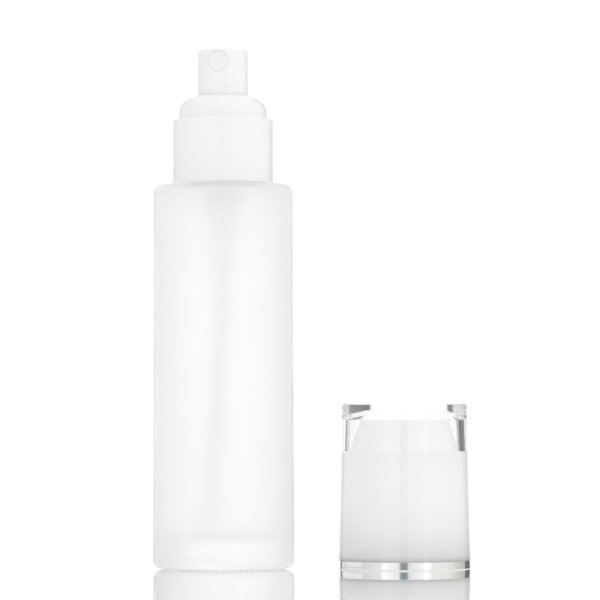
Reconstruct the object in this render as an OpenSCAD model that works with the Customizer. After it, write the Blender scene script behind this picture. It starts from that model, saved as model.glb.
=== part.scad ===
// Round glass bottle with a screw-on pump and a separate clear overcap that stands beside it.
// The bottle stands on z = 0 with its axis on the origin, and the nozzle faces -Y.

/* [Glass bottle] */
// Outside diameter of the bottle just above its heel
bottle_d = 39.7; // [33:0.1:60]
// How much narrower the bottle is at its shoulder
bottle_taper = 0.6; // [0:0.1:2]
// Height of the flat shoulder above the base
shoulder_h = 107.8; // [88:0.1:150]
// Radius of the shoulder's outer edge
shoulder_r = 2.3; // [0.5:0.1:4]
// Radius of the heel
heel_r = 2.2; // [0.5:0.1:4]
// Thickness of the side wall
side_wall = 2.3; // [1.5:0.1:4]
// Thickness of the glass under the shoulder's surface
shoulder_wall = 1.6; // [1.5:0.1:4]
// Thickness of the base
base_t = 8; // [4:0.1:14]
// Radius of the inner bottom corner
inner_corner_r = 4.8; // [1:0.1:7]
// Depth of the hollow under the base
push_up = 0.7; // [0.2:0.1:2]
// Width of the ring that the bottle stands on
standing_ring_w = 3.6; // [2:0.1:6]

/* [Neck finish] */
// Height of the neck above the shoulder
finish_h = 14.25; // [11.6:0.05:20]
// Outside diameter of the neck
finish_d = 21.6; // [20:0.1:26]
// Diameter of the hole through the neck
neck_bore_d = 16.4; // [13.6:0.1:18]
// How far the screw thread stands out from the neck
thread_h = 1.1; // [0.7:0.05:1.3]
// Rise of the screw thread in one turn
thread_pitch = 3.175; // [2.6:0.005:3.8]
// Length of the screw thread in turns
thread_turns = 1.25; // [1:0.05:1.5]

/* [Collar] */
// Wall of the screw ferrule outside its thread
ferrule_wall = 1.18; // [0.8:0.02:2]
// Wall of the collar cover
cover_wall = 0.8; // [0.5:0.05:1.2]
// Gap between the collar and the shoulder
shoulder_gap = 0.3; // [0.1:0.05:1]
// Height of the dome above the collar's shelf
dome_h = 6.75; // [5:0.05:9]
// Width of the shelf around the dome
shelf_w = 1.68; // [1:0.02:3]
// Radius of the dome's edge
dome_r = 4.8; // [2:0.1:5]
// Thickness of the ferrule's roof
ferrule_roof = 1.15; // [0.8:0.05:2]
// Clearance between the neck's thread and the ferrule's wall
thread_gap = 0.3; // [0.2:0.05:0.5]

/* [Pump] */
// How far the actuator travels when it is pressed
press_travel = 4; // [2.5:0.1:5]
// Thickness of the gasket on the neck
gasket_t = 0.8; // [0.5:0.1:1.5]
// Thickness of the housing's flange
flange_t = 1.1; // [0.8:0.1:2]
// Bore of the pump cylinder
cylinder_bore = 8.4; // [7:0.1:9.2]
// Wall of the pump cylinder
cylinder_wall = 0.9; // [0.6:0.05:1.2]
// Outside diameter of the stem
stem_d = 4.6; // [4:0.1:5.5]
// How far the piston lags behind the valve rod
piston_lag = 0.45; // [0.2:0.05:0.8]
// How far the inlet ball can lift
ball_lift = 0.8; // [0.4:0.1:1.2]
// Thickness of the spring's wire
wire_d = 0.7; // [0.4:0.05:0.8]
// Number of turns in the spring
spring_turns = 6; // [4:1:7]
// Outside diameter of the dip tube
tube_d = 3.2; // [2.8:0.1:4]
// Wall of the dip tube
tube_wall = 0.6; // [0.4:0.05:0.8]
// Gap between the dip tube's end and the bottle's floor
tube_foot_gap = 1.4; // [0.8:0.1:4]
// Radius of the dip tube's gentle bow
tube_bow_r = 600; // [450:10:2000]

/* [Actuator] */
// Outside diameter of the actuator
actuator_d = 14.1; // [13:0.1:17]
// Height of the actuator above the dome
actuator_h = 13.05; // [11:0.05:20]
// Wall of the actuator's skirt
actuator_wall = 0.85; // [0.6:0.05:1.2]
// Radius of the actuator's top edge
actuator_edge_r = 0.85; // [0.3:0.05:2]
// Diameter of the nozzle insert
nozzle_d = 6; // [4.4:0.1:6.4]
// Depth of the nozzle insert's centre below the actuator's top
nozzle_drop = 3.55; // [3.4:0.05:5]
// Turn of the nozzle to the left, in degrees
nozzle_turn = 10; // [0:1:30]

/* [Cap] */
// Room between the collar and the liner's wall at the cap's mouth
cap_room = 0.95; // [0.8:0.05:3]
// How much narrower the cap is at its top
cap_taper = 2; // [0:0.1:2.4]
// Height of the cap
cap_h = 46.2; // [44:0.1:60]
// Wall of the clear shell
shell_wall = 2.2; // [1.2:0.05:3]
// Thickness of the clear top in its middle
top_middle_t = 2.2; // [1.2:0.1:5]
// Thickness of the clear top at its edge
top_edge_t = 4.6; // [2:0.1:7]
// Height of the chrome ring
ring_h = 2.35; // [1.5:0.05:4]
// Height of the liner's broad lower part
liner_step_h = 32.8; // [28:0.1:40]
// Width of the liner's step
liner_step_w = 0.54; // [0.2:0.02:1]
// How far the liner draws in between its step and its top
liner_cone = 2.65; // [1:0.05:3.5]
// Gap between the liner's top and the clear roof at the edge
liner_headroom = 0.05; // [0:0.05:2]
// Wall of the liner
liner_wall = 1.1; // [0.8:0.05:1.5]
// Number of gripping ribs inside the liner
rib_count = 12; // [6:1:24]
// Clearance between the ribs and the collar
cap_clearance = 0.15; // [0.05:0.05:0.3]
// Space between the bottle and the cap beside it
cap_space = 12.25; // [2:0.05:60]

/* [Hidden] */
$fn = 72;

// Clearances and small sizes that several pieces share
running_gap = 0.05;
press_gap = 0.02;
free_gap = 0.3;
overlap = 0.1;
cut = 1;

// Levels of the closure, from the neck upwards
neck_top = shoulder_h + finish_h;
flange_z = neck_top + gasket_t;
flange_top = flange_z + flange_t;
ferrule_top = flange_top + running_gap + ferrule_roof;
shelf_z = ferrule_top + cover_wall;
dome_top = shelf_z + dome_h;
actuator_top = dome_top + actuator_h;

// Radii of the closure
neck_r = finish_d / 2;
crest_r = neck_r + thread_h;
ferrule_bore_r = crest_r + thread_gap;
ferrule_r = ferrule_bore_r + ferrule_wall;
cover_bore_r = ferrule_r + press_gap;
collar_r = cover_bore_r + cover_wall;
dome_out_r = collar_r - shelf_w;
flange_overhang = 0.2;
flange_r = neck_r + flange_overhang;
actuator_r = actuator_d / 2;
turret_gap = 0.5;
turret_r = actuator_r - actuator_wall - turret_gap;
ferrule_hole_r = turret_r + free_gap;
dome_hole_r = actuator_r + free_gap;

// Screw thread
thread_root_w = 1.5;
thread_crest_w = 0.7;
thread_sink = 0.3;
thread_steps = 24;
thread_fade = 4;
thread_top_space = 2.2;
thread_start = neck_top - thread_top_space - thread_pitch * thread_turns;

// Levels of the pump, from the flange downwards
retainer_rise = 4.1;
retainer_top = flange_top + retainer_rise;
retainer_depth = 7.4;
retainer_bottom = flange_top - retainer_depth;
bore_step_gap = 0.2;
bore_step_z = retainer_bottom - bore_step_gap;
stem_flange_t = 1.2;
seal_t = 0.8;
piston_h = 4;
piston_top = retainer_bottom - stem_flange_t - piston_lag - running_gap;
piston_bottom = piston_top - piston_h;
rod_head_t = 1.6;
rod_head_bottom = piston_bottom - rod_head_t;
spring_spare = 3.3;
spring_h = press_travel + wire_d * spring_turns + spring_spare;
ledge_z = rod_head_bottom - spring_h;

// Radii of the pump
cylinder_r = cylinder_bore / 2;
cylinder_out_r = cylinder_r + cylinder_wall;
socket_step = 1;
socket_r = cylinder_r + socket_step;
socket_wall = 1;
socket_out_r = socket_r + socket_wall;
stem_r = stem_d / 2;
stem_wall = 1.05;
stem_bore_r = stem_r - stem_wall;
stem_flange_gap = 0.6;
stem_flange_r = cylinder_r - stem_flange_gap;
seal_w = 1.6;
seal_r = stem_r + seal_w;
rod_r = 1.7;
rod_head_gap = 1;
rod_head_r = cylinder_r - rod_head_gap;
piston_hub_wall = 0.9;
piston_hub_r = rod_r + piston_hub_wall;
lip_w = 0.45;
lip_h = 1.2;
wire_r = wire_d / 2;
spring_inset = 0.1;
spring_r = rod_head_r - wire_r - spring_inset;
rod_guide_gap = 0.25;
rod_guide_r = spring_r - wire_r - rod_guide_gap;
rod_guide_h = 3.2;

// Inlet valve and dip tube. The ball's chamber is narrower than the spring that stands over it
ledge_w = 0.2;
chamber_r = spring_r - wire_r - ledge_w;
ball_gap = 0.6;
ball_r = chamber_r - ball_gap;
seat_w = 0.5;
inlet_r = ball_r - seat_w;
chamber_h = 5.3;
chamber_wall = 1.1;
chamber_out_r = chamber_r + chamber_wall;
seat_z = ledge_z - chamber_h;
ball_z = seat_z + ball_r * sqrt(2) - inlet_r + running_gap;
tube_r = tube_d / 2;
socket_floor_t = 1.5;
tube_top = seat_z - socket_floor_t;
tube_socket_h = 7.5;
tail_wall = 1.1;
tail_out_r = tube_r + tail_wall;
tail_z = tube_top - tube_socket_h;
tube_foot_z = base_t + tube_foot_gap;

// Actuator
skirt_spare = 0.5;
skirt_z = ferrule_top + press_travel + skirt_spare;
post_spare = 0.4;
post_z = retainer_top + press_travel + post_spare;
stem_grip = 4;
stem_top = post_z + stem_grip;
post_wall = 1.2;
post_r = stem_r + post_wall;
nozzle_z = actuator_top - nozzle_drop;
nozzle_r = nozzle_d / 2;
nozzle_face = sqrt(actuator_r * actuator_r - nozzle_r * nozzle_r);
nozzle_depth = 3;
nozzle_floor = nozzle_face - nozzle_depth;
insert_wall = 0.9;
swirl_gap = 0.35;
swirl_post_r = nozzle_r - insert_wall - swirl_gap;
feed_r = 0.45;
actuator_roof = 1.5;

// Cap
grip_r = collar_r + cap_clearance;
cap_low_r = grip_r + cap_room + liner_wall + press_gap + shell_wall;
cap_x = bottle_d / 2 + cap_space + cap_low_r;
skirt_lift = 0.6;
skirt_room = 0.6;
skirt_out_r = grip_r + skirt_room + liner_wall;
rib_w = 1;
liner_top_z = cap_h - top_edge_t - liner_headroom;

// Outside radius of the cap at a height above its mouth
function cap_r(z) = cap_low_r - cap_taper / 2 * z / cap_h;
// Outside radius of the bottle at a height above its base
function bottle_r(z) = bottle_d / 2 - bottle_taper / 2 * z / shoulder_h;

// Half outline of a slightly conical body with rounded lower and upper edges
module body_outline(r_low, r_high, z_low, z_high, edge_low = 0, edge_high = 0) {
    polygon([
        [0, z_low],
        [r_low - edge_low, z_low],
        [r_low, z_low + edge_low],
        [r_high, z_high - edge_high],
        [r_high - edge_high, z_high],
        [0, z_high]
    ]);
    if (edge_low > 0)
        translate([r_low - edge_low, z_low + edge_low]) circle(edge_low);
    if (edge_high > 0)
        translate([r_high - edge_high, z_high - edge_high]) circle(edge_high);
}

// Half outline of a ring from r_in to r_out
module ring_outline(r_in, r_out, z_low, z_high) {
    translate([r_in, z_low]) square([r_out - r_in, z_high - z_low]);
}

module tube(r_in, r_out, z_low, z_high) {
    rotate_extrude() ring_outline(r_in, r_out, z_low, z_high);
}

// One rib of a screw thread: its root lies inside the wall, and both ends fade into it
module thread_rib(root_r, rib_crest_r, z_start) {
    steps = round(thread_steps * thread_turns);
    side = rib_crest_r > root_r ? 1 : -1;
    corners = 4;
    points = [
        for (i = [0:steps])
            let (
                a = 360 * i / thread_steps,
                z = z_start + thread_pitch * i / thread_steps,
                fade = min(1, (i + 0.5) / thread_fade, (steps - i + 0.5) / thread_fade),
                r = root_r + (rib_crest_r - root_r) * fade
            )
            for (p = [
                [root_r, -thread_root_w / 2 * side],
                [r, -thread_crest_w / 2 * side],
                [r, thread_crest_w / 2 * side],
                [root_r, thread_root_w / 2 * side]
            ])
                [p[0] * cos(a), p[0] * sin(a), z + p[1]]
    ];
    sides = [
        for (i = [0:steps - 1])
            for (k = [0:corners - 1])
                let (
                    a = i * corners + k,
                    b = i * corners + (k + 1) % corners
                )
                for (face = [[a, b, b + corners], [a, b + corners, a + corners]])
                    face
    ];
    last = steps * corners;
    ends = [[2, 1, 0], [3, 2, 0], [last, last + 1, last + 2], [last, last + 2, last + 3]];
    polyhedron(points, concat(sides, ends));
}

module glass_bottle() {
    ring_r = bottle_d / 2 - heel_r - standing_ring_w;
    hollow_r = (ring_r * ring_r + push_up * push_up) / (2 * push_up);
    inner_top = shoulder_h - shoulder_wall;
    neck_fillet = 0.9;
    lip_r = 0.5;
    color("aliceblue", 0.6) {
        rotate_extrude() difference() {
            union() {
                body_outline(bottle_r(0), bottle_r(shoulder_h), 0, shoulder_h, heel_r, shoulder_r);
                body_outline(neck_r, neck_r, shoulder_h - cut, neck_top, 0, lip_r);
                difference() {
                    translate([neck_r - cut, shoulder_h - cut])
                        square(cut + neck_fillet);
                    translate([neck_r + neck_fillet, shoulder_h + neck_fillet])
                        circle(neck_fillet);
                }
            }
            body_outline(bottle_r(base_t) - side_wall, bottle_r(inner_top) - side_wall,
                base_t, inner_top, inner_corner_r, shoulder_r);
            translate([0, inner_top - cut])
                square([neck_bore_d / 2, neck_top - inner_top + 2 * cut]);
            difference() {
                translate([0, push_up - hollow_r]) circle(hollow_r, $fn = 256);
                translate([-2 * hollow_r, -2 * hollow_r]) square([2 * hollow_r, 3 * hollow_r]);
            }
        }
        thread_rib(neck_r - thread_sink, crest_r, thread_start);
    }
}

module neck_gasket() {
    inset = 0.1;
    color("whitesmoke") tube(neck_bore_d / 2 + inset, neck_r - inset, neck_top, flange_z);
}

module screw_ferrule() {
    foot_inset = 0.3;
    ferrule_z = shoulder_h + shoulder_gap + foot_inset;
    color("white") {
        rotate_extrude() union() {
            ring_outline(ferrule_bore_r, ferrule_r, ferrule_z, ferrule_top);
            ring_outline(ferrule_hole_r, ferrule_bore_r + thread_gap,
                ferrule_top - ferrule_roof, ferrule_top);
        }
        thread_rib(ferrule_bore_r + thread_sink, neck_r + thread_gap, thread_start - thread_pitch / 2);
    }
}

module collar_cover() {
    cover_z = shoulder_h + shoulder_gap;
    dome_inner_r = dome_out_r - cover_wall;
    shelf_edge = 0.35;
    color("white") rotate_extrude() difference() {
        union() {
            body_outline(collar_r, collar_r, cover_z, shelf_z, 0, shelf_edge);
            body_outline(dome_out_r, dome_out_r, shelf_z - cut, dome_top, 0, dome_r);
        }
        translate([0, cover_z - cut]) square([cover_bore_r, ferrule_top - cover_z + cut]);
        body_outline(dome_inner_r, dome_inner_r, ferrule_top - cut, dome_top - cover_wall,
            0, dome_r - cover_wall);
        translate([0, dome_top - 2 * cut]) square([dome_hole_r, 3 * cut]);
    }
}

module pump_housing() {
    rib_t = 0.6;
    rib_z = ball_z + ball_r + ball_lift + overlap;
    rib_r = ball_r - 0.3;
    rib_top = ledge_z - 0.4;
    shoulder_drop = 1.2;
    color("snow") {
        rotate_extrude() difference() {
            union() {
                ring_outline(0, flange_r, flange_z, flange_top);
                ring_outline(0, socket_out_r, bore_step_z - shoulder_drop, flange_top);
                ring_outline(0, cylinder_out_r, ledge_z - shoulder_drop, bore_step_z);
                ring_outline(0, chamber_out_r, seat_z - shoulder_drop, ledge_z);
                ring_outline(0, tail_out_r, tail_z, seat_z);
            }
            ring_outline(0, socket_r, bore_step_z, flange_top + cut);
            ring_outline(0, cylinder_r, ledge_z, bore_step_z + cut);
            ring_outline(0, chamber_r, seat_z + chamber_r - inlet_r, ledge_z + cut);
            polygon([
                [0, seat_z],
                [inlet_r, seat_z],
                [chamber_r, seat_z + chamber_r - inlet_r],
                [0, seat_z + chamber_r - inlet_r]
            ]);
            ring_outline(0, inlet_r, tube_top - cut, seat_z + overlap);
            ring_outline(0, tube_r, tail_z - cut, tube_top);
        }
        for (a = [0:120:240])
            rotate([0, 0, a])
                translate([rib_r, -rib_t / 2, rib_z])
                    cube([chamber_r + 2 * overlap - rib_r, rib_t, rib_top - rib_z]);
    }
}

module housing_retainer() {
    guide_r = stem_r + running_gap;
    guide_wall = 0.7;
    turret_wall = 0.9;
    turret_floor = 0.6;
    color("white") rotate_extrude() difference() {
        union() {
            ring_outline(guide_r, turret_r, flange_top, retainer_top);
            ring_outline(guide_r, socket_r - press_gap, retainer_bottom, flange_top);
        }
        ring_outline(0, seal_r, retainer_bottom - cut, retainer_bottom + seal_t);
        ring_outline(guide_r + guide_wall, turret_r - turret_wall,
            flange_top + turret_floor, retainer_top + cut);
    }
}

module stem_seal() {
    color("gainsboro")
        tube(stem_r + running_gap, seal_r - press_gap, retainer_bottom, retainer_bottom + seal_t);
}

module stem() {
    flange_bottom = retainer_bottom - stem_flange_t;
    color("white") rotate_extrude() difference() {
        union() {
            ring_outline(0, stem_r, flange_bottom, stem_top);
            ring_outline(0, stem_flange_r, flange_bottom, retainer_bottom);
        }
        ring_outline(0, stem_bore_r, flange_bottom - cut, stem_top + cut);
    }
}

module valve_rod() {
    plug_r = stem_bore_r - press_gap;
    plug_h = 4.5;
    plug_top = retainer_bottom + plug_h;
    neck_top_z = retainer_bottom - stem_flange_t;
    slot_w = 0.6;
    slot_z = piston_bottom + slot_w;
    color("ghostwhite") difference() {
        rotate_extrude() union() {
            ring_outline(0, plug_r, neck_top_z - cut, plug_top);
            ring_outline(0, rod_r, piston_bottom - cut, neck_top_z);
            ring_outline(0, rod_head_r, rod_head_bottom, piston_bottom);
            ring_outline(0, rod_guide_r, rod_head_bottom - rod_guide_h, rod_head_bottom + overlap);
        }
        for (side = [-1, 1])
            translate([side * (stem_bore_r - overlap) - slot_w / 2, -slot_w / 2, slot_z])
                cube([slot_w, slot_w, plug_top - slot_z + cut]);
    }
}

module piston() {
    skirt_r = cylinder_r - running_gap;
    web_t = 1.2;
    web_z = piston_bottom + (piston_h - web_t) / 2;
    color("azure") rotate_extrude() union() {
        ring_outline(rod_r + running_gap, piston_hub_r, piston_bottom, piston_top);
        ring_outline(piston_hub_r - overlap, skirt_r, web_z, web_z + web_t);
        ring_outline(skirt_r - lip_w, skirt_r, piston_bottom - lip_h, piston_top);
    }
}

// The wire's rings follow a helix with closed flat ends
module return_spring() {
    ring_steps = 16;
    wire_sides = 8;
    closed_end = 0.12;
    steps = spring_turns * ring_steps;
    low = ledge_z + wire_r;
    rise = spring_h - wire_d;
    function lift(t) = low + rise * min(1, max(0, (t - closed_end) / (1 - 2 * closed_end)));
    points = [
        for (i = [0:steps])
            let (a = 360 * i / ring_steps, z = lift(i / steps))
            for (k = [0:wire_sides - 1])
                let (b = 360 * k / wire_sides, r = spring_r + wire_r * cos(b))
                [r * cos(a), r * sin(a), z + wire_r * sin(b)]
    ];
    sides = [
        for (i = [0:steps - 1])
            for (k = [0:wire_sides - 1])
                let (
                    a = i * wire_sides + k,
                    b = i * wire_sides + (k + 1) % wire_sides
                )
                for (face = [[a, a + wire_sides, b + wire_sides], [a, b + wire_sides, b]])
                    face
    ];
    last = steps * wire_sides;
    ends = concat(
        [for (k = [1:wire_sides - 2]) [0, k, k + 1]],
        [for (k = [1:wire_sides - 2]) [last, last + k + 1, last + k]]
    );
    color("silver") polyhedron(points, concat(sides, ends));
}

module inlet_ball() {
    color("silver") translate([0, 0, ball_z]) sphere(ball_r);
}

// The tube bows towards -X, and its tangent is upright halfway up the housing's socket
module dip_tube() {
    top_angle = asin(tube_socket_h / 2 / tube_bow_r);
    foot_angle = asin((tail_z + tube_socket_h / 2 - tube_foot_z) / tube_bow_r);
    color("whitesmoke")
        translate([-tube_bow_r, 0, tail_z + tube_socket_h / 2])
            rotate([90, 0, 0])
                rotate([0, 0, -foot_angle])
                    rotate_extrude(angle = foot_angle + top_angle, $fn = 256)
                        translate([tube_bow_r, 0])
                            difference() {
                                circle(tube_r - press_gap);
                                circle(tube_r - tube_wall);
                            }
}

// Places children so that +Z points out of the nozzle, from the actuator's axis
module at_nozzle() {
    rotate([0, 0, -nozzle_turn])
        translate([0, 0, nozzle_z])
            rotate([90, 0, 0])
                children();
}

module actuator() {
    inside_r = actuator_r - actuator_wall;
    socket_bore_r = stem_r + running_gap;
    feed_drop = (swirl_post_r + nozzle_r - insert_wall) / 2;
    boss_wall = 0.9;
    boss_r = nozzle_r + boss_wall;
    swirl_post_h = 2;
    color("white") difference() {
        rotate_extrude() body_outline(actuator_r, actuator_r, skirt_z, actuator_top, 0, actuator_edge_r);
        difference() {
            rotate_extrude() union() {
                ring_outline(post_r, inside_r, post_z, actuator_top - actuator_roof);
                ring_outline(0, inside_r, skirt_z - cut, post_z);
            }
            at_nozzle() cylinder(r = boss_r, h = actuator_r);
        }
        translate([0, 0, post_z - cut]) cylinder(r = socket_bore_r, h = stem_top - post_z + cut);
        translate([0, 0, stem_top - cut])
            cylinder(r = stem_bore_r, h = nozzle_z - feed_drop + feed_r + overlap - stem_top + cut);
        at_nozzle() {
            translate([0, -feed_drop, 0]) cylinder(r = feed_r, h = nozzle_floor + overlap);
            difference() {
                translate([0, 0, nozzle_floor]) cylinder(r = nozzle_r, h = actuator_r);
                translate([0, 0, nozzle_floor - cut]) cylinder(r = swirl_post_r, h = cut + swirl_post_h);
            }
        }
    }
}

module nozzle_insert() {
    face_t = 0.8;
    orifice_r = 0.15;
    mouth_r = 0.3;
    mouth_depth = 0.15;
    edge = 0.15;
    insert_r = nozzle_r - press_gap;
    color("white") at_nozzle()
        translate([0, 0, nozzle_floor])
            rotate_extrude() difference() {
                polygon([
                    [0, 0],
                    [insert_r, 0],
                    [insert_r, nozzle_depth - edge],
                    [insert_r - edge, nozzle_depth],
                    [0, nozzle_depth]
                ]);
                ring_outline(0, nozzle_r - insert_wall, -cut, nozzle_depth - face_t);
                ring_outline(0, orifice_r, -cut, nozzle_depth + cut);
                polygon([
                    [0, nozzle_depth - mouth_depth],
                    [orifice_r, nozzle_depth - mouth_depth],
                    [mouth_r, nozzle_depth],
                    [mouth_r, nozzle_depth + cut],
                    [0, nozzle_depth + cut]
                ]);
            }
}

module cap_shell() {
    inner_low = ring_h - cut;
    crown_draft = 0.2;
    roof_r = cap_r(cap_h - top_edge_t) - shell_wall - crown_draft;
    roof_flat_r = 7.3;
    edge_r = 0.35;
    color("azure", 0.3) translate([cap_x, 0, 0]) rotate_extrude() difference() {
        body_outline(cap_r(ring_h), cap_r(cap_h), ring_h, cap_h, 0, edge_r);
        polygon([
            [0, inner_low],
            [cap_r(inner_low) - shell_wall, inner_low],
            [cap_r(liner_step_h) - shell_wall, liner_step_h],
            [roof_r, cap_h - top_edge_t],
            [roof_flat_r, cap_h - top_middle_t],
            [0, cap_h - top_middle_t]
        ]);
    }
}

module cap_liner() {
    skin_low = cap_r(ring_h) - shell_wall - press_gap;
    skin_high = cap_r(liner_step_h) - shell_wall - press_gap;
    neck_out_r = skin_high - liner_step_w;
    top_r = neck_out_r - liner_cone;
    corner = 0.6;
    floor_z = ring_h + liner_wall;
    roof_z = liner_step_h - liner_wall;
    half_wall = liner_wall / 2;
    color("white") translate([cap_x, 0, 0]) {
        rotate_extrude() difference() {
            union() {
                polygon([
                    [0, ring_h],
                    [skin_low, ring_h],
                    [skin_high, liner_step_h],
                    [neck_out_r, liner_step_h],
                    [top_r, liner_top_z - corner],
                    [top_r - corner, liner_top_z],
                    [0, liner_top_z]
                ]);
                ring_outline(0, skirt_out_r, skirt_lift, ring_h + cut);
            }
            polygon([
                [0, floor_z],
                [skin_low - liner_wall, floor_z],
                [skin_high - liner_wall, roof_z],
                [neck_out_r - liner_wall, roof_z],
                [top_r - liner_wall, liner_top_z - liner_wall],
                [0, liner_top_z - liner_wall]
            ]);
            ring_outline(0, skirt_out_r - liner_wall, skirt_lift - cut, floor_z + cut);
        }
        intersection() {
            rotate_extrude() polygon([
                [grip_r, floor_z - half_wall],
                [skin_low - half_wall, floor_z - half_wall],
                [skin_high - half_wall, roof_z + half_wall],
                [grip_r, roof_z + half_wall]
            ]);
            for (i = [0:rib_count - 1])
                rotate([0, 0, (i + 0.5) * 360 / rib_count])
                    translate([0, -rib_w / 2, 0])
                        cube([cap_low_r, rib_w, cap_h]);
        }
    }
}

module cap_ring() {
    foot_edge = 0.3;
    color("lightgray") translate([cap_x, 0, 0]) rotate_extrude() difference() {
        body_outline(cap_r(0), cap_r(ring_h), 0, ring_h, foot_edge, 0);
        ring_outline(0, skirt_out_r + press_gap, -cut, ring_h + cut);
    }
}

glass_bottle();
neck_gasket();
screw_ferrule();
collar_cover();
pump_housing();
housing_retainer();
stem_seal();
stem();
valve_rod();
piston();
return_spring();
inlet_ball();
dip_tube();
actuator();
nozzle_insert();
cap_shell();
cap_liner();
cap_ring();
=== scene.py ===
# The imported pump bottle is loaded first, with its loose overcap standing beside it.
# Its bodies, its nodes and its box say where every piece below goes.
import math

import bmesh
import bpy
from mathutils import Matrix, Vector


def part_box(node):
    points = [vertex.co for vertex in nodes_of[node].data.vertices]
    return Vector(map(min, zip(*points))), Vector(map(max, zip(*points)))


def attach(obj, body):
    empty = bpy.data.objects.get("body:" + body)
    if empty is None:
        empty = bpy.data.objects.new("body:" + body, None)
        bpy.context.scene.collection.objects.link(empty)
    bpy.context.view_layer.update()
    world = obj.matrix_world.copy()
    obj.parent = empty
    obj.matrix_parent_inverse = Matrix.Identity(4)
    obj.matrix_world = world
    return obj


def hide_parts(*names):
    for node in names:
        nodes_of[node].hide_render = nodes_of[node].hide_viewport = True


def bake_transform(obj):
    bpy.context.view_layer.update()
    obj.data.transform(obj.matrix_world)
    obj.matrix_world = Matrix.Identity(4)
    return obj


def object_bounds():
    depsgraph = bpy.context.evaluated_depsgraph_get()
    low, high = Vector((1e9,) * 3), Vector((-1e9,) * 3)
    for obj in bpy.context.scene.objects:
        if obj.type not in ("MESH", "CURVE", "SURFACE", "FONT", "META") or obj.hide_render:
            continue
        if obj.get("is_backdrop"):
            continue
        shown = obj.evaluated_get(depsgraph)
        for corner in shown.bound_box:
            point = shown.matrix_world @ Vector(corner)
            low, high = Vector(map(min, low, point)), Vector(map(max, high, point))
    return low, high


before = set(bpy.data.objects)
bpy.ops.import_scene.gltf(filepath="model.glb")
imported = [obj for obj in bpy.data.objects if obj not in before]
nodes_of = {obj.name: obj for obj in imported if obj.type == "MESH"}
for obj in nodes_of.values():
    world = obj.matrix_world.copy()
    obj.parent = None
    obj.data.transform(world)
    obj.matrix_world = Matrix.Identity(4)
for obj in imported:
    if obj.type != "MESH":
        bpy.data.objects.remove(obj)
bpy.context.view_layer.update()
MM = 0.001


# The camera is a long lens set a little above the table, so that upright edges stay upright.
# It looks along +Y at the middle of the bottle and the cap together.
view_width = 168.6 * MM
camera_distance = 1050 * MM
eye_height = 44 * MM
aim = Vector((21.55 * MM, 0, 75.4 * MM))
camera_lean = math.radians(-0.12)
camera_data = bpy.data.cameras.new("studio_camera")
camera = bpy.data.objects.new("studio_camera", camera_data)
bpy.context.scene.collection.objects.link(camera)
camera.location = (aim.x, -camera_distance, eye_height)
camera.rotation_euler = (aim - camera.location).to_track_quat("-Z", "Y").to_euler()
camera.rotation_euler.rotate_axis("Z", camera_lean)
camera_data.sensor_width = 36
camera_data.lens = camera_data.sensor_width * (aim - camera.location).length / view_width
camera_data.clip_start = 0.05
camera_data.clip_end = 20
bpy.context.scene.camera = camera


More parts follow.
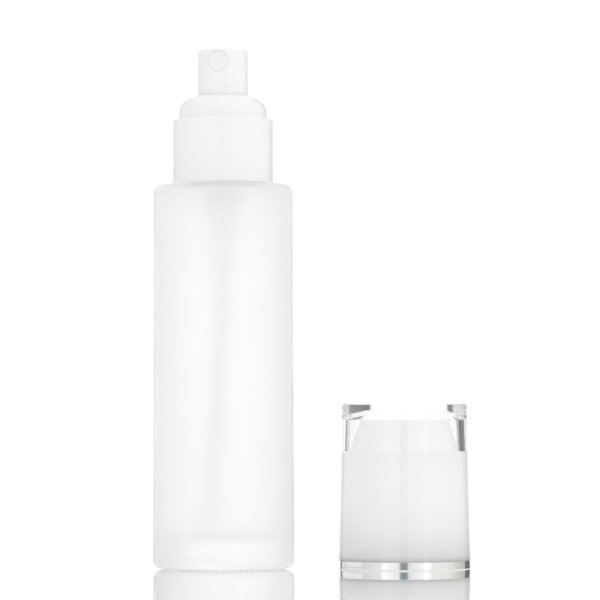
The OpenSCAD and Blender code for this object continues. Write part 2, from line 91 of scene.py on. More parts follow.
# The studio is a white room: white behind, grey at the sides, two soft boxes in front with a dark
# slot between them, a narrow and a broad black card behind, and a bright ceiling.
def link_world(tree, ramp_stops):
    """Lights the room by compass direction, with 0 at the camera, and by height above the table.
    Matt surfaces see the room as an even white that falls off a little to the left."""
    nodes, links = tree.nodes, tree.links
    nodes.clear()
    place = nodes.new("ShaderNodeTexCoord")
    parts = nodes.new("ShaderNodeSeparateXYZ")
    links.new(place.outputs["Generated"], parts.inputs[0])
    front = nodes.new("ShaderNodeMath")
    front.operation = "MULTIPLY"
    front.inputs[1].default_value = -1
    links.new(parts.outputs["Y"], front.inputs[0])
    compass = nodes.new("ShaderNodeMath")
    compass.operation = "ARCTAN2"
    links.new(parts.outputs["X"], compass.inputs[0])
    links.new(front.outputs[0], compass.inputs[1])
    turn = nodes.new("ShaderNodeMapRange")
    turn.inputs["From Min"].default_value = -math.pi
    turn.inputs["From Max"].default_value = math.pi
    links.new(compass.outputs[0], turn.inputs["Value"])
    ramp = nodes.new("ShaderNodeValToRGB")
    ramp.color_ramp.interpolation = "LINEAR"
    elements = ramp.color_ramp.elements
    elements[0].position = 0
    elements[0].color = (*ramp_stops[0][1], 1)
    elements[1].position = ramp_stops[1][0] / 360 + 0.5
    elements[1].color = (*ramp_stops[1][1], 1)
    for degrees, colour in ramp_stops[2:]:
        stop = elements.new(degrees / 360 + 0.5)
        stop.color = (*colour, 1)
    links.new(turn.outputs["Result"], ramp.inputs["Fac"])
    height = nodes.new("ShaderNodeMapRange")
    height.inputs["From Min"].default_value = ceiling_foot
    height.inputs["From Max"].default_value = ceiling_full
    links.new(parts.outputs["Z"], height.inputs["Value"])
    walls = nodes.new("ShaderNodeMix")
    walls.data_type = "RGBA"
    walls.inputs["B"].default_value = (ceiling_glow / wall_gain,) * 3 + (1,)
    links.new(height.outputs["Result"], walls.inputs["Factor"])
    links.new(ramp.outputs["Color"], walls.inputs["A"])
    room = nodes.new("ShaderNodeBackground")
    room.inputs["Strength"].default_value = wall_gain
    links.new(walls.outputs["Result"], room.inputs["Color"])
    side = nodes.new("ShaderNodeMapRange")
    side.inputs["From Min"].default_value = -1
    side.inputs["From Max"].default_value = 1
    side.inputs["To Min"].default_value = fill_left
    side.inputs["To Max"].default_value = fill_right
    links.new(parts.outputs["X"], side.inputs["Value"])
    even = nodes.new("ShaderNodeBackground")
    links.new(side.outputs["Result"], even.inputs["Strength"])
    backdrop = nodes.new("ShaderNodeBackground")
    backdrop.inputs["Color"].default_value = (1, 1, 1, 1)
    backdrop.inputs["Strength"].default_value = backdrop_glow
    even.inputs["Color"].default_value = (1, 1, 1, 1)
    softened = nodes.new("ShaderNodeMix")
    softened.data_type = "RGBA"
    softened.inputs["Factor"].default_value = haze
    softened.inputs["B"].default_value = (haze_glow / wall_gain,) * 3 + (1,)
    links.new(walls.outputs["Result"], softened.inputs["A"])
    through = nodes.new("ShaderNodeBackground")
    through.inputs["Strength"].default_value = wall_gain
    links.new(softened.outputs["Result"], through.inputs["Color"])
    ray = nodes.new("ShaderNodeLightPath")
    clear = nodes.new("ShaderNodeMixShader")
    links.new(ray.outputs["Is Transmission Ray"], clear.inputs["Fac"])
    links.new(room.outputs[0], clear.inputs[1])
    links.new(through.outputs[0], clear.inputs[2])
    matt = nodes.new("ShaderNodeMixShader")
    links.new(ray.outputs["Diffuse Depth"], matt.inputs["Fac"])
    links.new(clear.outputs[0], matt.inputs[1])
    links.new(even.outputs[0], matt.inputs[2])
    mix = nodes.new("ShaderNodeMixShader")
    links.new(ray.outputs["Is Camera Ray"], mix.inputs["Fac"])
    links.new(matt.outputs[0], mix.inputs[1])
    links.new(backdrop.outputs[0], mix.inputs[2])
    output = nodes.new("ShaderNodeOutputWorld")
    links.new(mix.outputs[0], output.inputs["Surface"])


wall_gain = 3.0
ceiling_glow = 1.1
ceiling_foot, ceiling_full = 0.62, 0.72
backdrop_glow = 1.06
fill_left, fill_right = 0.97, 1.14
haze, haze_glow = 0.2, 1.3


def glow(level, warm=0.0, green=0.0):
    """A wall's light as a share of the gain."""
    red, middle, blue = 1 + warm, 1 + green, 1 - warm
    return (level * red / wall_gain, level * middle / wall_gain, level * blue / wall_gain)


room_walls = [
    (-180, glow(1.06)),
    (-151, glow(1.06)),
    (-150, glow(0.17)),
    (-144, glow(0.17)),
    (-142.5, glow(0.7, 0, 0.03)),
    (-105, glow(0.7, 0, 0.03)),
    (-76, glow(0.74, 0, 0.02)),
    (-43, glow(0.86, 0.01)),
    (-41, glow(1.12)),
    (-26, glow(1.01)),
    (-11.5, glow(0.9)),
    (-9, glow(0.42, -0.05)),
    (-4.5, glow(0.31, -0.14)),
    (0.5, glow(0.31, -0.14)),
    (3.5, glow(0.42, -0.05)),
    (5.5, glow(0.8)),
    (15, glow(0.9)),
    (34, glow(1.05)),
    (35.5, glow(1.6)),
    (39, glow(1.6)),
    (40.5, glow(1.06)),
    (45.5, glow(1.03)),
    (47, glow(0.88, 0.02)),
    (76, glow(0.87, 0.02)),
    (90, glow(0.8, 0.02)),
    (106, glow(0.65, 0.01, 0.02)),
    (128, glow(0.53, 0.01, 0.02)),
    (129.5, glow(0.17)),
    (155.5, glow(0.17)),
    (157, glow(1.06)),
]
world = bpy.data.worlds.new("white_studio")
bpy.context.scene.world = world
world.use_nodes = True
link_world(world.node_tree, room_walls)
bpy.context.scene.view_settings.view_transform = "Standard"


def soft_light(name, where, towards, size, power):
    """A fill light that brightens the white plastic but isn't mirrored in gloss or seen through glass."""
    data = bpy.data.lights.new(name, "AREA")
    data.shape = "SQUARE"
    data.size = size
    data.energy = power
    lamp = bpy.data.objects.new(name, data)
    bpy.context.scene.collection.objects.link(lamp)
    lamp.location = where
    lamp.rotation_euler = (Vector(towards) - Vector(where)).to_track_quat("-Z", "Y").to_euler()
    lamp.visible_glossy = False
    lamp.visible_transmission = False
    lamp.visible_camera = False


soft_light("front_fill_right", where=(0.9, -1.5, 0.7), towards=(0.02, 0, 0.07), size=0.8, power=0.6)
light_paths = bpy.context.scene.cycles
light_paths.max_bounces = 24
light_paths.diffuse_bounces = 8
light_paths.transmission_bounces = 18
light_paths.glossy_bounces = 16
light_paths.blur_glossy = 0

# The table is a sheet of polished white acrylic. Seen almost along its surface it is a mirror,
# and seen from higher up it is plain white.
table_half = 6.0
mirror_from, mirror_full = 0.8, 0.92
bm = bmesh.new()
bmesh.ops.create_grid(bm, x_segments=1, y_segments=1, size=table_half)
table_mesh = bpy.data.meshes.new("table")
bm.to_mesh(table_mesh)
bm.free()
table = bpy.data.objects.new("table", table_mesh)
bpy.context.scene.collection.objects.link(table)
table_finish = bpy.data.materials.new("polished_white_acrylic")
table_finish.use_nodes = True
tree = table_finish.node_tree
acrylic = tree.nodes["Principled BSDF"]
acrylic.inputs["Base Color"].default_value = (0.97, 0.97, 0.97, 1)
acrylic.inputs["Roughness"].default_value = 0.04
mirror = tree.nodes.new("ShaderNodeBsdfGlossy")
mirror.inputs["Color"].default_value = (0.99, 0.99, 0.99, 1)
mirror.inputs["Roughness"].default_value = 0.0
facing = tree.nodes.new("ShaderNodeLayerWeight")
facing.inputs["Blend"].default_value = 0.5
grazing = tree.nodes.new("ShaderNodeMapRange")
grazing.inputs["From Min"].default_value = mirror_from
grazing.inputs["From Max"].default_value = mirror_full
tree.links.new(facing.outputs["Facing"], grazing.inputs["Value"])
sheet = tree.nodes.new("ShaderNodeMixShader")
tree.links.new(grazing.outputs["Result"], sheet.inputs["Fac"])
tree.links.new(acrylic.outputs[0], sheet.inputs[1])
tree.links.new(mirror.outputs[0], sheet.inputs[2])
tree.links.new(sheet.outputs[0], tree.nodes["Material Output"].inputs["Surface"])
table_mesh.materials.append(table_finish)
table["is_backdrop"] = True


# The bottle is pressed flint glass with a thick base, a hollow under it and a ring of small stipples
# to stand on. Its outside is frosted in acid, and its inside and its neck stay clear.
def arc(centre_r, centre_z, radius, start, end, steps):
    """Points of (radius, height) along an arc, with its angles in degrees from the outward direction."""
    angles = [math.radians(start + (end - start) * i / steps) for i in range(steps + 1)]
    return [(centre_r + radius * math.cos(a), centre_z + radius * math.sin(a)) for a in angles]


sharp_angle = math.radians(32)


def piece_from(bm, name):
    """Turns a bmesh in millimetres into a smooth-shaded object, with its sharp edges kept."""
    bmesh.ops.scale(bm, vec=(MM, MM, MM), verts=bm.verts)
    mesh = bpy.data.meshes.new(name)
    bm.to_mesh(mesh)
    bm.free()
    mesh.shade_smooth()
    mesh.set_sharp_from_angle(angle=sharp_angle)
    piece = bpy.data.objects.new(name, mesh)
    bpy.context.scene.collection.objects.link(piece)
    return piece


def turned(outline, steps=160, closed=True):
    """Spins an outline of (radius, height) points in millimetres about the Z axis."""
    bm = bmesh.new()
    corners = [bm.verts.new((r, 0, z)) for r, z in outline]
    edges = [bm.edges.new(pair) for pair in zip(corners, corners[1:])]
    if closed:
        edges.append(bm.edges.new((corners[-1], corners[0])))
    bmesh.ops.spin(bm, geom=corners + edges, axis=(0, 0, 1), cent=(0, 0, 0), dvec=(0, 0, 0),
                   angle=2 * math.pi, steps=steps, use_merge=True, use_duplicate=False)
    bmesh.ops.remove_doubles(bm, verts=bm.verts, dist=0.0005)
    bmesh.ops.recalc_face_normals(bm, faces=bm.faces)
    return bm


def screw_rib(bm, root_r, crest_r, start_z, turns, pitch):
    """Adds one helical rib of the screw thread to a bmesh, as a closed solid sunk into its wall. The
    crest runs down close to the root at both ends."""
    root_half, crest_half, end_share = 0.75, 0.35, 0.12
    turn_steps = 48
    section = [(root_r, -root_half), (crest_r, -crest_half), (crest_r, crest_half), (root_r, root_half)]
    corners = [bm.verts.new((r, 0, start_z + z)) for r, z in section]
    ring = [bm.edges.new((corners[i], corners[(i + 1) % 4])) for i in range(4)]
    steps = round(turns * turn_steps)
    made = bmesh.ops.spin(bm, geom=corners + ring, axis=(0, 0, 1), cent=(0, 0, 0),
                          dvec=(0, 0, pitch / turn_steps), angle=math.tau * turns, steps=steps)
    last = [e for e in made["geom_last"] if isinstance(e, bmesh.types.BMVert)]
    for end in (corners, last):
        for vert in end:
            middle = math.hypot(vert.co.x, vert.co.y)
            at_crest = abs(middle - crest_r) < 0.01
            inset = (root_r + (crest_r - root_r) * end_share) / middle if at_crest else 1
            vert.co.x *= inset
            vert.co.y *= inset
        bm.faces.new(end)
    bmesh.ops.recalc_face_normals(bm, faces=bm.faces)


def finish(name, colour, roughness, **sockets):
    """A new Principled material, with plain numbers set straight on its sockets."""
    material = bpy.data.materials.new(name)
    material.use_nodes = True
    surface = material.node_tree.nodes["Principled BSDF"]
    surface.inputs["Base Color"].default_value = (*colour, 1)
    surface.inputs["Roughness"].default_value = roughness
    for socket, value in sockets.items():
        surface.inputs[socket.replace("_", " ")].default_value = value
    return material


def grain(material, size, low, high, bump_height=0.0, stretch=(1, 1, 1), detail=4.0):
    """Varies a finish's roughness between two values over a noise of the given size in metres, and
    raises the same noise as a bump of the given height in metres."""
    tree = material.node_tree
    surface = tree.nodes["Principled BSDF"]
    place = tree.nodes.new("ShaderNodeTexCoord")
    fit = tree.nodes.new("ShaderNodeMapping")
    fit.inputs["Scale"].default_value = stretch
    noise = tree.nodes.new("ShaderNodeTexNoise")
    noise.inputs["Scale"].default_value = 1 / size
    noise.inputs["Detail"].default_value = detail
    tree.links.new(place.outputs["Object"], fit.inputs["Vector"])
    tree.links.new(fit.outputs["Vector"], noise.inputs["Vector"])
    spread = tree.nodes.new("ShaderNodeMapRange")
    noise_low, noise_high = 0.3, 0.7
    spread.inputs["From Min"].default_value = noise_low
    spread.inputs["From Max"].default_value = noise_high
    spread.inputs["To Min"].default_value = low
    spread.inputs["To Max"].default_value = high
    tree.links.new(noise.outputs["Fac"], spread.inputs["Value"])
    tree.links.new(spread.outputs["Result"], surface.inputs["Roughness"])
    if bump_height:
        bump = tree.nodes.new("ShaderNodeBump")
        bump.inputs["Strength"].default_value = 1.0
        bump.inputs["Distance"].default_value = bump_height
        tree.links.new(noise.outputs["Fac"], bump.inputs["Height"])
        tree.links.new(bump.outputs["Normal"], surface.inputs["Normal"])
    return material


glass_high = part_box("glass_bottle")[1]
neck_top = glass_high.z / MM
bottle_r = glass_high.x / MM
neck_h, shoulder_wall, side_taper = 14.25, 1.6, 0.3
shoulder_z = neck_top - neck_h
shoulder_r = bottle_r - side_taper
side_wall, base_t, inner_top = 2.3, 8.0, shoulder_z - shoulder_wall
neck_r, bore_r = 10.8, 8.2
foot_in, foot_out = 14.05, 17.45
heel_edge, shoulder_edge, neck_fillet, lip_edge = 2.4, 2.3, 0.9, 0.5
bore_edge, base_edge, shoulder_rise = 1.2, 4.8, 0.02
hollow_h, dip_r, dip_edge, dip_middle = 0.75, 6, 0.12, 0.2
stipple_count, stipple_h, steps_per_stipple = 58, 0.28, 5
hollow = [(foot_in * i / 8, stipple_h + hollow_h * (1 - (i / 8) ** 2)) for i in range(9)]
standing_ring = [(foot_in + (foot_out - foot_in) * i / 10, stipple_h) for i in range(1, 10)]
bottle_outline = (
    hollow
    + standing_ring
    + arc(foot_out, stipple_h + heel_edge, heel_edge, -90, 0, 12)
    + arc(shoulder_r - shoulder_edge, shoulder_z - shoulder_edge, shoulder_edge, 0, 90, 14)
    + [(neck_r + 3, shoulder_z + shoulder_rise)]
    + arc(neck_r + neck_fillet, shoulder_z + shoulder_rise + neck_fillet, neck_fillet, -90, -180, 6)
    + arc(neck_r - lip_edge, neck_top - lip_edge, lip_edge, 0, 90, 5)
    + arc(bore_r + lip_edge, neck_top - lip_edge, lip_edge, 90, 180, 5)
    + arc(bore_r + bore_edge, inner_top + bore_edge, bore_edge, 180, 270, 5)
    + arc(shoulder_r - side_wall - shoulder_edge, inner_top - shoulder_edge, shoulder_edge, 90, 0, 10)
    + arc(bottle_r - side_wall - base_edge, base_t + base_edge, base_edge, 0, -90, 12)
    + [(dip_r, base_t - dip_edge), (0, base_t - dip_middle)]
)
bm = turned(bottle_outline, steps=stipple_count * steps_per_stipple, closed=False)
for vert in bm.verts:
    radius = math.hypot(vert.co.x, vert.co.y)
    if foot_in < radius < foot_out and vert.co.z < stipple_h + 0.01:
        across = math.sin(math.pi * (radius - foot_in) / (foot_out - foot_in)) ** 1.5
        along = 0.5 + 0.5 * math.cos(stipple_count * math.atan2(vert.co.y, vert.co.x))
        vert.co.z -= stipple_h * across * along
thread_turns, thread_pitch, thread_h, thread_sunk = 1.25, 3.175, 1.1, 0.3
thread_top = neck_top - 2.2
screw_rib(bm, neck_r - thread_sunk, neck_r + thread_h, thread_top - thread_turns * thread_pitch,
          thread_turns, thread_pitch)
bottle = piece_from(bm, "frosted_bottle")
frosted = grain(
    finish("acid_frosted_glass", (0.985, 0.985, 0.985), 0.5, Transmission_Weight=0.62, IOR=1.5),
    size=0.4 * MM, low=0.52, high=0.6, bump_height=0.004 * MM)
clear_glass = grain(
    finish("clear_flint_glass", (0.99, 0.995, 0.992), 0.02, Transmission_Weight=1.0, IOR=1.5),
    size=9 * MM, low=0.0, high=0.03, bump_height=0.03 * MM)
bottle.data.materials.append(frosted)
bottle.data.materials.append(clear_glass)
for face in bottle.data.polygons:
    radius = math.hypot(face.center.x, face.center.y) / MM
    height = face.center.z / MM
    inside = base_t - 0.5 < height and radius < bottle_r - side_wall / 2 and height < inner_top + 0.2
    face.material_index = 1 if inside or height > shoulder_z + 0.3 else 0
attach(bottle, "bottle")
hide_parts("glass_bottle")


# The pump hangs in the neck: a housing with a ball valve in its foot, a retainer that guides the stem,
# soft seals, and a dip tube pushed into its tail. All are natural white mouldings and stay as built.
def repaint(node, material):
    """Gives a CAD node one new finish."""
    part = nodes_of[node]
    part.data.materials.clear()
    part.data.materials.append(material)


pump_white = grain(
    finish("natural_polypropylene", (0.86, 0.86, 0.855), 0.4),
    size=0.5 * MM, low=0.3, high=0.45, bump_height=0.004 * MM)
for node in ("pump_housing", "housing_retainer", "stem", "valve_rod", "piston", "screw_ferrule"):
    repaint(node, pump_white)
tube_white = grain(
    finish("polyethylene_tube", (0.93, 0.935, 0.935), 0.35, Transmission_Weight=0.7, IOR=1.5),
    size=0.6 * MM, low=0.28, high=0.42, bump_height=0.004 * MM, stretch=(1, 1, 0.05))
repaint("dip_tube", tube_white)
seal_rubber = grain(
    finish("soft_white_seal", (0.72, 0.72, 0.7), 0.7),
    size=0.3 * MM, low=0.6, high=0.8, bump_height=0.01 * MM)
for node in ("neck_gasket", "stem_seal"):
    repaint(node, seal_rubber)
ball_steel = grain(
    finish("polished_steel", (0.7, 0.7, 0.71), 0.08, Metallic=1.0),
    size=0.3 * MM, low=0.04, high=0.12)
repaint("inlet_ball", ball_steel)


# The return spring is bright steel wire wound to the left over the valve rod's foot. Its lower end stands
# in the housing.
spring_low, spring_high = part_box("return_spring")
wire_r, spring_turns, turn_steps, closed_turns = 0.35, 6, 40, 0.12
coil_r = spring_high.x / MM - wire_r
coil_rise = (spring_high.z - spring_low.z) / MM - 2 * wire_r
steps = spring_turns * turn_steps
bm = bmesh.new()
bmesh.ops.create_circle(bm, cap_ends=False, radius=wire_r, segments=12,
                        matrix=Matrix.Rotation(math.pi / 2, 4, "X"))
bmesh.ops.translate(bm, vec=(coil_r, 0, 0), verts=bm.verts)
first = list(bm.verts)
made = bmesh.ops.spin(bm, geom=first + list(bm.edges), axis=(0, 0, 1), cent=(0, 0, 0),
                      dvec=(0, 0, coil_rise / steps), angle=math.tau * spring_turns, steps=steps)
for vert in bm.verts:
    share = min(1, max(0, vert.co.z / coil_rise))
    eased = min(1, max(0, (share - closed_turns) / (1 - 2 * closed_turns)))
    vert.co.z += coil_rise * (eased - share)
bmesh.ops.contextual_create(bm, geom=[e for e in bm.edges if e.is_boundary])
bmesh.ops.translate(bm, vec=(0, 0, spring_low.z / MM + wire_r), verts=bm.verts)
bmesh.ops.recalc_face_normals(bm, faces=bm.faces)
spring = piece_from(bm, "wound_spring")
spring_steel = grain(
    finish("drawn_spring_wire", (0.62, 0.62, 0.63), 0.2, Metallic=1.0),
    size=0.15 * MM, low=0.12, high=0.3, bump_height=0.002 * MM)
spring.data.materials.append(spring_steel)
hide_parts("return_spring")
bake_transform(spring)


# The collar cover is a polished white sleeve snapped over the screw ferrule. It has a shelf with a
# small rounded edge, and a dome with a hole that the actuator passes through.
cover_low, cover_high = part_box("collar_cover")
cover_z, dome_top, collar_r = cover_low.z / MM, cover_high.z / MM, cover_high.x / MM
cover_wall, shelf_w, dome_h, dome_edge, hole_r = 0.8, 1.68, 6.75, 4.8, 7.35
dome_r, shelf_z = collar_r - shelf_w, dome_top - dome_h
foot_chamfer, cover_foot, shelf_edge, dome_fillet, hole_edge = 0.1, 0.15, 0.4, 0.35, 0.22
cover_outline = (
    [(collar_r - cover_wall, cover_z + foot_chamfer), (collar_r - cover_wall + foot_chamfer, cover_z)]
    + arc(collar_r - cover_foot, cover_z + cover_foot, cover_foot, -90, 0, 3)
    + arc(collar_r - shelf_edge, shelf_z - shelf_edge, shelf_edge, 0, 90, 6)
    + arc(dome_r + dome_fillet, shelf_z + dome_fillet, dome_fillet, -90, -180, 5)
    + arc(dome_r - dome_edge, dome_top - dome_edge, dome_edge, 0, 88, 20)
    + arc(hole_r + hole_edge, dome_top - hole_edge, hole_edge, 90, 180, 4)
    + [(hole_r, dome_top - cover_wall)]
    + arc(dome_r - dome_edge, dome_top - dome_edge, dome_edge - cover_wall, 88, 0, 12)
    + [(dome_r - cover_wall, shelf_z - cover_wall), (collar_r - cover_wall, shelf_z - cover_wall)]
)
cover = piece_from(turned(cover_outline), "collar_sleeve")
white_gloss = grain(
    finish("polished_white_plastic", (0.87, 0.87, 0.87), 0.14, IOR=1.5,
           Subsurface_Weight=0.1, Subsurface_Scale=1.5 * MM),
    size=1.6 * MM, low=0.1, high=0.18, bump_height=0.002 * MM)
cover.data.materials.append(white_gloss)
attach(cover, "collar")
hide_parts("collar_cover")


# The actuator is a polished white button with a socket for the stem and a round pocket in its side.
# The pocket's rim is slightly rounded, and a post stands in its middle for the insert to close on.
actuator_low, actuator_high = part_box("actuator")
button_r, button_top, skirt_z = actuator_high.x / MM, actuator_high.z / MM, actuator_low.z / MM
button_edge, skirt_wall, button_foot = 0.85, 0.85, 0.12
nozzle_turn = math.radians(-10)
nozzle_drop, nozzle_r, nozzle_depth = 3.55, 3.0, 3.0
nozzle_face = math.sqrt(button_r ** 2 - nozzle_r ** 2)
stem_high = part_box("stem")[1].z / MM
socket_depth, post_r, socket_r, pocket_floor = 4, 3.5, 2.35, 0.6
post_z = stem_high - socket_depth
bore_top = button_top - nozzle_drop - nozzle_r - pocket_floor
button_outline = (
    [(button_r - skirt_wall, skirt_z + foot_chamfer), (button_r - skirt_wall + foot_chamfer, skirt_z)]
    + arc(button_r - button_foot, skirt_z + button_foot, button_foot, -90, 0, 3)
    + arc(button_r - button_edge, button_top - button_edge, button_edge, 0, 90, 12)
    + [(0, button_top), (0, stem_high), (socket_r, stem_high), (socket_r, post_z)]
    + [(post_r, post_z), (post_r, bore_top), (button_r - skirt_wall, bore_top)]
)
button = piece_from(turned(button_outline, steps=240, closed=True), "actuator_button")


def nozzle_place(out):
    """The matrix of a plane square to the nozzle's axis, the given millimetres out from the bottle's."""
    turn = Matrix.Rotation(nozzle_turn, 4, "Z") @ Matrix.Translation((0, 0, button_top - nozzle_drop))
    return turn @ Matrix.Rotation(math.pi / 2, 4, "X") @ Matrix.Translation((0, 0, out))


core_r, core_h, cutter_h = 1.75, 2, 5
pocket_outline = (
    [(core_r, 0), (nozzle_r, 0), (nozzle_r, cutter_h)]
    + [(0, cutter_h), (0, core_h), (core_r, core_h)]
)
bm = turned(pocket_outline, steps=96, closed=True)
bmesh.ops.transform(bm, matrix=nozzle_place(nozzle_face - nozzle_depth), verts=bm.verts)
pocket = piece_from(bm, "pocket_cutter")
cut = button.modifiers.new("nozzle_pocket", "BOOLEAN")
cut.operation = "DIFFERENCE"
cut.solver = "EXACT"
cut.object = pocket
cut_mesh = bpy.data.meshes.new_from_object(
    button.evaluated_get(bpy.context.evaluated_depsgraph_get()))
button.modifiers.clear()
bpy.data.objects.remove(pocket)
bm = bmesh.new()
bm.from_mesh(cut_mesh)
bmesh.ops.remove_doubles(bm, verts=bm.verts, dist=0.003 * MM)
rim_edge, rim_reach, rim_angle = 0.03 * MM, 0.3, 0.6
to_nozzle = (Matrix.Scale(MM, 4) @ nozzle_place(0)).inverted()
rim = []
for edge in bm.edges:
    ends = [to_nozzle @ v.co for v in edge.verts]
    if all(abs(math.hypot(p.x, p.y) - nozzle_r) < 0.02 and p.z > nozzle_face - rim_reach for p in ends):
        if edge.calc_face_angle(0) > rim_angle:
            rim.append(edge)
bmesh.ops.bevel(bm, geom=rim, offset=rim_edge, offset_type="OFFSET", affect="EDGES", segments=3,
                profile=0.5, material=-1, clamp_overlap=True)
bm.to_mesh(button.data)
bm.free()
button.data.shade_smooth()
button.data.set_sharp_from_angle(angle=sharp_angle)
button.data.materials.append(white_gloss)
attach(button, "actuator")
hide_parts("actuator")


# The nozzle insert is a small white cup pressed into the pocket. Its flat face carries the orifice
# in a shallow funnel, and its edge has a fine chamfer.
insert_r = nozzle_r - 0.02
insert_bore_r, insert_edge, face_t = nozzle_r - 0.9, 0.08, 0.8
orifice_r, funnel_r, lead_r = 0.08, 0.2, 0.15
insert_outline = (
    [(insert_bore_r, 0), (insert_r, 0)]
    + arc(insert_r - insert_edge, nozzle_depth - insert_edge, insert_edge, 0, 90, 4)
    + [(funnel_r, nozzle_depth), (lead_r, nozzle_depth - 0.03), (orifice_r, nozzle_depth - 0.1)]
    + [(orifice_r, nozzle_depth - face_t), (insert_bore_r, nozzle_depth - face_t)]
)
bm = turned(insert_outline, steps=72)
bmesh.ops.transform(bm, matrix=nozzle_place(nozzle_face - nozzle_depth), verts=bm.verts)
insert = piece_from(bm, "spray_insert")
insert_white = grain(
    finish("satin_white_acetal", (0.85, 0.85, 0.85), 0.3),
    size=0.3 * MM, low=0.24, high=0.38, bump_height=0.003 * MM)
insert.data.materials.append(insert_white)
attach(insert, "actuator")
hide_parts("nozzle_insert")


# The cap's liner is one white moulding. Its broad lower part is bonded to the clear shell, and its blunt
# cone above the step is the same white painted darker, as painted shade. Twelve ribs inside grip the
# collar.
cap_low, cap_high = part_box("cap_ring")
ring_r, ring_h = (cap_high.x - cap_low.x) / 2 / MM, cap_high.z / MM
cap_x = (cap_high.x + cap_low.x) / 2 / MM
cap_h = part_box("cap_shell")[1].z / MM
cap_narrowing, shell_wall, bond_lap = 1, 2.2, 0.03
cap_top_r = ring_r - cap_narrowing


def cap_r(z):
    """The cap's outer radius at a height above its mouth."""
    return ring_r + (cap_top_r - ring_r) * z / cap_h


def bonded_r(z):
    """The liner's outer radius: it lies a hair inside the clear wall, so no air shows between them."""
    return cap_r(z) - shell_wall + bond_lap


liner_wall, step_z, grip_gap = 1.1, 32.8, 0.15
step_w, cone_narrowing, step_fillet, cone_edge = 0.56, 2.65, 0.25, 0.45
rib_h, skirt_lift = 1.7, 0.6
grip_r = collar_r + grip_gap
liner_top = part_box("cap_liner")[1].z / MM
cone_r = cap_r(step_z) - shell_wall - step_w
cone_top_r = cone_r - cone_narrowing
skirt_out = grip_r + rib_h
roof_in, foot_in_r = (cap_r(z) - shell_wall - liner_wall for z in (step_z, ring_h))
liner_outline = (
    [(skirt_out - liner_wall, skirt_lift), (skirt_out, skirt_lift), (skirt_out, ring_h)]
    + [(bonded_r(ring_h), ring_h), (bonded_r(step_z), step_z)]
    + arc(cone_r + step_fillet, step_z + step_fillet, step_fillet, -90, -170, 4)
    + arc(cone_top_r - cone_edge, liner_top - cone_edge, cone_edge, 15, 90, 6)
    + [(0, liner_top), (0, liner_top - liner_wall), (cone_top_r - liner_wall, liner_top - liner_wall)]
    + [(cone_r - liner_wall, step_z - liner_wall), (roof_in, step_z - liner_wall)]
    + [(foot_in_r, ring_h + liner_wall), (skirt_out - liner_wall, ring_h + liner_wall)]
)
bm = turned(liner_outline, steps=192)
rib_count, rib_w, rib_edge = 12, 1.0, 0.25
rib_out = cap_r(step_z) - shell_wall - liner_wall / 2
for i in range(rib_count):
    turn = Matrix.Rotation(math.tau * (i + 0.5) / rib_count, 4, "Z")
    low, high = ring_h + liner_wall / 2, step_z - liner_wall / 2
    block = Matrix.Translation(((grip_r + rib_out) / 2, 0, (low + high) / 2)) @ Matrix.Diagonal(
        (rib_out - grip_r, rib_w, high - low, 1))
    rib = bmesh.ops.create_cube(bm, size=1, matrix=turn @ block)
    upright = [e for v in rib["verts"] for e in v.link_edges
               if abs(e.verts[0].co.z - e.verts[1].co.z) > 1
               and math.hypot(e.verts[0].co.x, e.verts[0].co.y) < grip_r + 0.5]
    bmesh.ops.bevel(bm, geom=list(set(upright)), offset=rib_edge, offset_type="OFFSET", affect="EDGES",
                    segments=3, profile=0.5, material=-1)
bmesh.ops.translate(bm, vec=(cap_x, 0, 0), verts=bm.verts)
liner = piece_from(bm, "white_liner")
liner_white = grain(
    finish("white_polypropylene", (0.95, 0.95, 0.945), 0.34),
    size=1.2 * MM, low=0.31, high=0.37, bump_height=0.0002 * MM)
liner.data.materials.append(liner_white)
# Painted shade: the cone above the step gets a darker copy of the liner's white, standing in for the
# dimmer light inside the cap.
liner_painted_shade = grain(
    finish("white_polypropylene_painted_shade", (0.87, 0.87, 0.865), 0.34),
    size=1.2 * MM, low=0.31, high=0.37, bump_height=0.0002 * MM)
liner.data.materials.append(liner_painted_shade)
# Faces above the step take the painted-shade copy of the white.
for face in liner.data.polygons:
    face.material_index = 1 if face.center.z / MM > step_z + 0.01 else 0
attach(liner, "cap")
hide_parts("cap_liner")


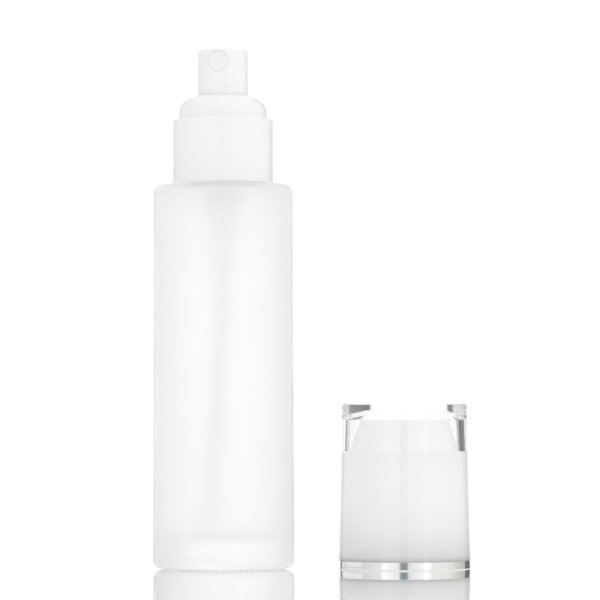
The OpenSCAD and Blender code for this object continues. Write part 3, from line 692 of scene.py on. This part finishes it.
# The cap's shell is thick clear acrylic, turned and polished. Its solid top has a shallow recess in
# the middle of its underside, and its wall ends on the chrome ring.
crown_edge_t, crown_middle_t, recess_r, crown_draft = 4.6, 2.2, 7.3, 0.2
top_edge_z, top_middle_z = cap_h - crown_edge_t, cap_h - crown_middle_t
shell_foot_r, foot_bevel, crown_edge = cap_r(ring_h), 0.05, 0.35
shell_outline = (
    [(shell_foot_r - shell_wall, ring_h), (shell_foot_r - foot_bevel, ring_h)]
    + [(shell_foot_r, ring_h + foot_bevel)]
    + arc(cap_top_r - crown_edge, cap_h - crown_edge, crown_edge, 0, 90, 6)
    + [(0, cap_h), (0, top_middle_z), (recess_r, top_middle_z)]
    + [(cap_r(top_edge_z) - shell_wall - crown_draft, top_edge_z)]
    + [(cap_r(step_z) - shell_wall, step_z)]
)
bm = turned(shell_outline, steps=256)
bmesh.ops.translate(bm, vec=(cap_x, 0, 0), verts=bm.verts)
shell = piece_from(bm, "clear_shell")
acrylic_clear = grain(
    finish("polished_clear_acrylic", (0.995, 0.998, 1.0), 0.0, Transmission_Weight=1.0, IOR=1.49),
    size=2.5 * MM, low=0.0, high=0.012, bump_height=0.0006 * MM)
shell.data.materials.append(acrylic_clear)
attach(shell, "cap")
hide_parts("cap_shell")


# The ring round the cap's mouth is a bright chrome-plated moulding. Its foot has a small radius, and
# its plating carries faint turning marks.
ring_gap, ring_foot, ring_edge, ring_chamfer = 0.02, 0.3, 0.08, 0.1
ring_in = skirt_out + ring_gap
ring_outline = (
    [(ring_in, ring_chamfer), (ring_in + ring_chamfer, 0)]
    + arc(ring_r - ring_foot, ring_foot, ring_foot, -90, 0, 6)
    + arc(cap_r(ring_h) - ring_edge, ring_h - ring_edge, ring_edge, 0, 90, 3)
    + [(ring_in + ring_chamfer, ring_h), (ring_in, ring_h - ring_chamfer)]
)
bm = turned(ring_outline, steps=256)
bmesh.ops.translate(bm, vec=(cap_x, 0, 0), verts=bm.verts)
ring = piece_from(bm, "chrome_band")
plating = grain(
    finish("bright_chrome_plating", (0.9, 0.91, 0.9), 0.03, Metallic=1.0),
    size=0.5 * MM, low=0.01, high=0.05, bump_height=0.0003 * MM, stretch=(0.1, 0.1, 8))
ring.data.materials.append(plating)
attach(ring, "cap")
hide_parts("cap_ring")


# The box of everything shown is computed.
low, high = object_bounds()
